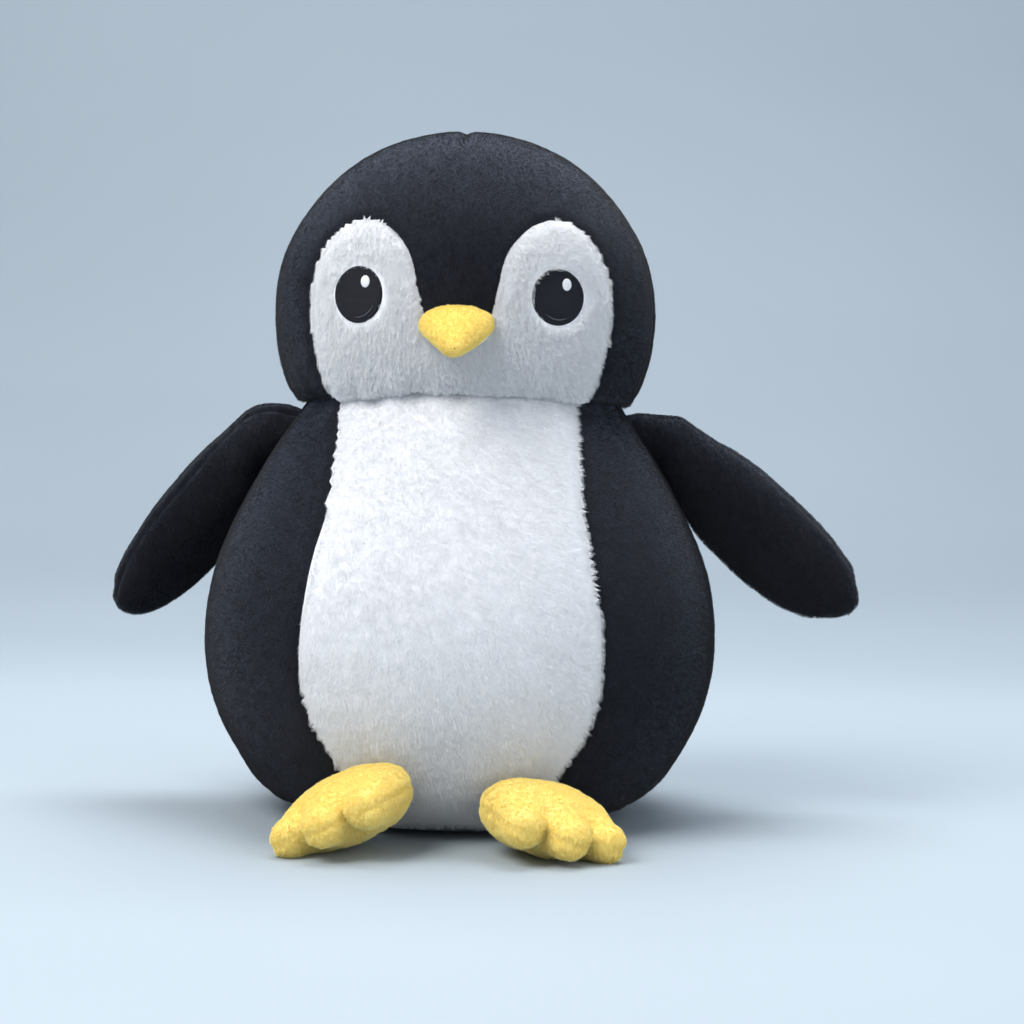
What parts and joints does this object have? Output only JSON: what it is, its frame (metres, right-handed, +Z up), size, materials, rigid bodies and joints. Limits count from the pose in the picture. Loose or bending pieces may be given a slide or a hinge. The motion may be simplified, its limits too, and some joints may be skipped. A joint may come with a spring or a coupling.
{
  "type": "plush penguin toy",
  "caption": "Sitting plush penguin with a white face and belly, dark hood, back and flippers, a stuffed yellow beak and three-toed yellow feet.",
  "frame": {"origin": "middle of the flat base, on the ground the toy sits on", "axes": "+Z up through the head, the face looks along -Y, and +X is the toy's own left"},
  "size_m": [0.3358, 0.2568, 0.3],
  "materials": {
    "white_plush": "long minky pile with visible strands",
    "dark_plush": "short velvety pile, navy charcoal, with a sheen",
    "yellow_plush": "fine short pile",
    "fibre_filling": "loose polyester fibre",
    "bag_cloth": "plain woven cotton",
    "beans": "small plastic beans",
    "label_tape": "blank satin tape",
    "dark_thread": "satin-stitched polyester thread",
    "white_thread": "satin-stitched polyester thread"
  },
  "bodies": {
    "torso": {"belly_panel": "white_plush", "side_panel_left": "dark_plush", "side_panel_right": "dark_plush", "back_panel_left": "dark_plush", "back_panel_right": "dark_plush", "base_panel": "dark_plush", "torso_filling": "fibre_filling", "bean_bag": "bag_cloth", "beans": "beans", "care_label": "label_tape", "closing_stitches": "dark_thread"},
    "neck": {"neck_seam": "dark_plush"},
    "head": {"face_panel": "white_plush", "hood_front": "dark_plush", "hood_back_left": "dark_plush", "hood_back_right": "dark_plush", "head_filling": "fibre_filling", "eye_left": "dark_thread", "eye_right": "dark_thread", "eye_glint_left": "white_thread", "eye_glint_right": "white_thread", "beak_upper": "yellow_plush", "beak_lower": "yellow_plush", "beak_filling": "fibre_filling"},
    "wing_left_root": {"wing_left_root_tab": "dark_plush"},
    "wing_left": {"wing_left_front": "dark_plush", "wing_left_back": "dark_plush", "wing_left_filling": "fibre_filling"},
    "wing_right_root": {"wing_right_root_tab": "dark_plush"},
    "wing_right": {"wing_right_front": "dark_plush", "wing_right_back": "dark_plush", "wing_right_filling": "fibre_filling"},
    "foot_left": {"foot_left_top": "yellow_plush", "foot_left_sole": "yellow_plush", "foot_left_filling": "fibre_filling"},
    "foot_right": {"foot_right_top": "yellow_plush", "foot_right_sole": "yellow_plush", "foot_right_filling": "fibre_filling"}
  },
  "joints": [
    {"name": "head_nod", "type": "hinge", "parent": "torso", "child": "neck", "pos_m": [0, 0, 0.1], "axis": [1, 0, 0], "range_deg": [-8, 12], "stiffness_Nm_per_rad": 3},
    {"name": "head_turn", "type": "hinge", "parent": "neck", "child": "head", "pos_m": [0, 0, 0.1], "axis": [0, 0, 1], "range_deg": [-15, 15], "stiffness_Nm_per_rad": 0.6},
    {"name": "wing_left_swing", "type": "hinge", "parent": "torso", "child": "wing_left_root", "pos_m": [0.0915, 0.002, 0.165], "axis": [-1, 0, 0], "range_deg": [-35, 45], "stiffness_Nm_per_rad": 0.3},
    {"name": "wing_left_flap", "type": "hinge", "parent": "wing_left_root", "child": "wing_left", "pos_m": [0.0915, 0.002, 0.165], "axis": [0, -1, 0], "range_deg": [-12, 60], "stiffness_Nm_per_rad": 0.3},
    {"name": "wing_right_swing", "type": "hinge", "parent": "torso", "child": "wing_right_root", "pos_m": [-0.0915, 0.002, 0.165], "axis": [-1, 0, 0], "range_deg": [-15, 60], "stiffness_Nm_per_rad": 0.3},
    {"name": "wing_right_flap", "type": "hinge", "parent": "wing_right_root", "child": "wing_right", "pos_m": [-0.0915, 0.002, 0.165], "axis": [0, 0.9135, 0.4067], "range_deg": [0, 72], "stiffness_Nm_per_rad": 0.3},
    {"name": "foot_left_flex", "type": "hinge", "parent": "torso", "child": "foot_left", "pos_m": [0.034, -0.094, 0.01542], "axis": [-0.9034, -0.365, 0.225], "range_deg": [0, 25], "stiffness_Nm_per_rad": 0.2},
    {"name": "foot_right_flex", "type": "hinge", "parent": "torso", "child": "foot_right", "pos_m": [-0.034, -0.094, 0.01844], "axis": [-0.8585, 0.3125, -0.4067], "range_deg": [0, 25], "stiffness_Nm_per_rad": 0.2}
  ]
}
